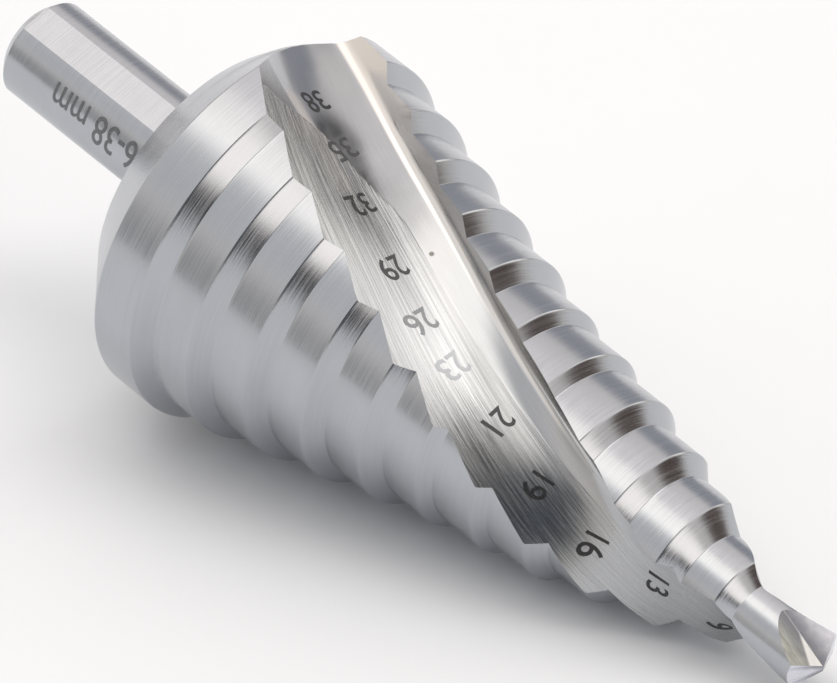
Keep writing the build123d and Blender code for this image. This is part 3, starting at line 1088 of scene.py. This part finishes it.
class DRILL_OT_numbers(bpy.types.Operator):
    """Marks each step with its diameter and the shank with the size range"""
    bl_idname = "drill.numbers"
    bl_label = "Numbers"

    def execute(self, context):
        shape = DrillShape(context.scene)
        finish = context.scene.drill_finish
        worn = {w: mark_material(finish, w) for w in sorted({row[2] for row in NUMBERS})}
        numbers = []
        for (t, azimuth, wear_and_sheen), diameter in zip(NUMBERS, 2 * shape.radii):
            words = "%d" % round(diameter)
            glyphs, faces = glyph_mesh(words, finish.number_height / MM)
            points = self.in_flute(shape, t, azimuth, glyphs)
            numbers.append(("number_" + words, points, faces, worn[wear_and_sheen]))
        # The other flute is the first one after half a turn.
        for sign, suffix in ((1, ""), (-1, "_far")):
            for name, points, faces, dark in numbers:
                self.mark(shape, name + suffix, points * (sign, sign, 1), faces, dark)
        t, azimuth, wear_and_sheen = SHANK_MARKING
        glyphs, faces = glyph_mesh(finish.shank_words, finish.shank_height / MM)
        bare = shape.s.shank_diameter / MM / 2
        radius = bare + MARK_THICKNESS * 0.6 + glyphs[:, 2]
        a = math.radians(azimuth) + glyphs[:, 1] / bare
        z = shape.length - t - glyphs[:, 0] * MARKING_WIDTH
        points = np.stack([radius * np.cos(a), radius * np.sin(a), z], -1)
        self.mark(shape, "shank_marking", points, faces, mark_material(finish, wear_and_sheen))
        return {"FINISHED"}

    def in_flute(self, shape, t, azimuth, glyphs):
        """Text wrapped on the flute: its height runs along the drill and its
        width round it, and it stands out by a hair along the normal, which is
        the cross product of two short steps on the surface."""
        sides = shape.on_flute(np.full(2, t), azimuth + np.array([-1.0, 1.0]))
        degree = np.linalg.norm(sides[1] - sides[0]) / 2
        along, turned = t - glyphs[:, 1], azimuth + glyphs[:, 0] * NUMBER_WIDTH / degree
        here = shape.on_flute(along, turned)
        right = shape.on_flute(along, turned + 0.1) - here
        up = shape.on_flute(along - 0.01, turned) - here
        out = np.cross(right, up)
        out /= np.linalg.norm(out, axis=1)[:, None]
        return here + out * (glyphs[:, 2:] + MARK_THICKNESS * 0.9)

    def mark(self, shape, name, points, faces, dark):
        piece = new_mesh(name, shape.world(points), faces, smooth=False)
        piece.data.materials.append(dark)
        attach(piece, "root")


# Light of the studio by direction. The room's own light goes from the first
# colour at the horizon to the second overhead. Over it lie soft patches:
# azimuth, elevation, full and outer half width in degrees, and colour.
ROOM = ((0.79, 0.77, 0.75), (1.12, 1.10, 1.12))
PATCHES = (
    (0, 90, 14, 30, (1.7, 1.7, 1.72)),
    (50, 72, 13, 24, (2.6, 2.6, 2.6)),
    (-145, 76, 11, 27, (2.15, 2.10, 2.06)),
    (-98, 66, 8, 20, (2.1, 2.1, 2.08)),
    (-120, 45, 8, 24, (0.83, 0.85, 0.90)),
    (71, 45, 8, 19, (1.75, 1.77, 1.80)),
    (84, 22, 8, 18, (1.85, 1.84, 1.80)),
    (-9, 18, 9, 23, (2.0, 1.93, 1.9)),
    (170, 55, 10, 26, (1.45, 1.40, 1.41)),
    (128, 66, 8, 18, (1.2, 1.17, 1.2)),
    (-60, 34, 18, 34, (0.07, 0.085, 0.11)),
    (-27, 57, 10, 22, (0.12, 0.12, 0.13)),
    (47, 11, 11, 22, (0.12, 0.09, 0.08)),
    (-31, 3, 11, 18, (0.01, 0.01, 0.015)),
    (110, 16, 9, 22, (0.44, 0.46, 0.53)),
    (-128, 8, 6, 20, (0.45, 0.47, 0.50)),
)

# Dark upright strip: its azimuth in degrees, and the ranges over which it fades
# aside of that azimuth, round towards it, and overhead, as parts of a unit
# direction.
STRIP_AZIMUTH = 92.5
STRIP_ASIDE, STRIP_AHEAD, STRIP_TOP = (0.03, 0.105), (0.15, 0.4), (0.85, 0.95)
STRIP_TONE = (0.06, 0.06, 0.07)


def toward(azimuth, elevation=0.0):
    """Unit direction at an azimuth and an elevation, in degrees."""
    a, e = math.radians(azimuth), math.radians(elevation)
    return (math.cos(a) * math.cos(e), math.sin(a) * math.cos(e), math.sin(e))


class DRILL_OT_stage(bpy.types.Operator):
    """Builds the pale floor, the soft light and the camera"""
    bl_idname = "drill.stage"
    bl_label = "Stage"

    def execute(self, context):
        scene, studio = context.scene, context.scene.drill_studio
        size = 3.0
        corners = size * np.array([[-1, -1, 0], [1, -1, 0], [1, 1, 0], [-1, 1, 0]])
        floor = new_mesh("floor", corners, [[0, 1, 2, 3]], smooth=False)
        floor.data.materials.append(self.floor_material(studio))
        self.light_world(scene, studio)
        camera = bpy.data.cameras.new("camera")
        camera.lens, camera.sensor_width = studio.focal_length, 36.0
        camera.clip_start, camera.clip_end = 0.05, 20.0
        stand = bpy.data.objects.new("camera", camera)
        scene.collection.objects.link(stand)
        stand.location = studio.camera_place
        stand.rotation_euler = [math.radians(a) for a in studio.camera_turn]
        scene.camera = stand
        scene.view_settings.view_transform = "Standard"
        return {"FINISHED"}

    def floor_material(self, studio):
        """Plain pale floor, very slightly uneven, that keeps the shadow."""
        material = bpy.data.materials.new("floor")
        material.use_nodes = True
        graph = Graph(material.node_tree)
        place = graph.node("ShaderNodeTexCoord", output="Object")
        grain = graph.noise(place, 40.0, 2.0)
        base = graph.mix(grain, tinted(studio.floor, 0.985), tinted(studio.floor))
        inputs = {"Base Color": base, "Roughness": 0.9, "Specular IOR Level": 0.1}
        shader = graph.node("ShaderNodeBsdfPrincipled", inputs=inputs)
        graph.node("ShaderNodeOutputMaterial", inputs={"Surface": shader})
        return material

    def light_world(self, scene, studio):
        """Studio all round: a pale room with soft bright and dark patches and a
        dark upright strip, which the steel reflects. The camera sees white."""
        world = bpy.data.worlds.new("studio")
        scene.world = world
        world.use_nodes = True
        graph = Graph(world.node_tree)
        where = graph.node("ShaderNodeTexCoord", output="Generated")

        def facing(direction):
            return graph.vector("DOT_PRODUCT", where, direction, output=1)

        height = facing((0.0, 0.0, 1.0))
        light = graph.mix(graph.ramp(height, 0.0, 0.9), *(tinted(c) for c in ROOM))
        for azimuth, elevation, full, outer, tint in PATCHES:
            low, high = (math.cos(math.radians(a)) for a in (outer, full))
            share = graph.ramp(facing(toward(azimuth, elevation)), low, high)
            light = graph.mix(share, light, tinted(tint))
        aside = facing(toward(STRIP_AZIMUTH + 90.0)).math("ABSOLUTE")
        strip = (1 - graph.ramp(aside, *STRIP_ASIDE)) * (1 - graph.ramp(height, *STRIP_TOP))
        strip = strip * graph.ramp(facing(toward(STRIP_AZIMUTH)), *STRIP_AHEAD)
        light = graph.mix(strip, light, tinted(STRIP_TONE))
        light = graph.vector("MULTIPLY", light, tuple(studio.light_tint))
        seen = graph.node("ShaderNodeLightPath", output="Is Camera Ray")
        shown = graph.mix(seen, light, (1.0, 1.0, 1.0, 1.0))
        backdrop = graph.node("ShaderNodeBackground", inputs={"Color": shown, "Strength": 1.0})
        graph.node("ShaderNodeOutputWorld", inputs={"Surface": backdrop})


class DRILL_PT_panel(bpy.types.Panel):
    """Steps of the drill and its sizes"""
    bl_idname = "DRILL_PT_panel"
    bl_label = "Step drill"
    bl_space_type = "VIEW_3D"
    bl_region_type = "UI"
    bl_category = "Step drill"

    def draw(self, context):
        for operator in OPERATORS:
            self.layout.operator(operator.bl_idname)
        for group in GROUPS:
            settings = getattr(context.scene, group)
            box = self.layout.box()
            for name in settings.__annotations__:
                box.prop(settings, name)


OPERATORS = (DRILL_OT_body, DRILL_OT_shank, DRILL_OT_numbers, DRILL_OT_stage)
GROUPS = {
    "drill_sizes": DrillSizes,
    "drill_flutes": FluteSizes,
    "drill_pose": RestPose,
    "drill_finish": DrillFinish,
    "drill_studio": StudioSettings,
}


def register():
    for kind in (*GROUPS.values(), *OPERATORS, DRILL_PT_panel):
        bpy.utils.register_class(kind)
    for name, kind in GROUPS.items():
        setattr(bpy.types.Scene, name, PointerProperty(type=kind))


def unregister():
    for name in GROUPS:
        delattr(bpy.types.Scene, name)
    for kind in (DRILL_PT_panel, *OPERATORS, *GROUPS.values()):
        bpy.utils.unregister_class(kind)


def main():
    register()
    bpy.ops.drill.body()
    bpy.ops.drill.shank()
    bpy.ops.drill.numbers()
    bpy.ops.drill.stage()


if __name__ == "__main__":
    main()
